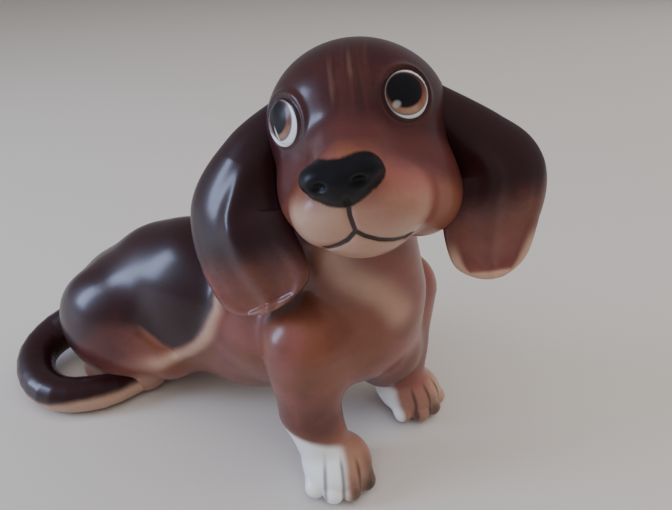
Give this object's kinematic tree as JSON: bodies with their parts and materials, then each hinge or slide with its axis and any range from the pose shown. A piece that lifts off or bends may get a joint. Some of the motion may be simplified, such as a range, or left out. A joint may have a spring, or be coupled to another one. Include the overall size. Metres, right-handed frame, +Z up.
{
  "type": "dog figurine",
  "caption": "Glazed ceramic figurine of a long-eared puppy sitting on its haunches, propped on straight forelegs, head turned and tail curled forward along the ground.",
  "frame": {"origin": "centre of the bounding box's base, on the plane the figurine stands on", "axes": "+Z up; the body runs along Y with the chest and forepaws towards -Y and the rump and tail towards +Y; the dog's left side is +X"},
  "size_m": [0.0752, 0.1358, 0.1029],
  "materials": {
    "russet_glaze": "glossy",
    "chocolate_glaze": "glossy",
    "tan_glaze": "glossy"
  },
  "bodies": {
    "root": {"torso": "russet_glaze", "head": "russet_glaze", "left_ear": "chocolate_glaze", "right_ear": "chocolate_glaze", "left_foreleg": "tan_glaze", "right_foreleg": "tan_glaze", "left_hind_leg": "russet_glaze", "right_hind_leg": "russet_glaze", "tail": "chocolate_glaze"}
  },
  "joints": []
}
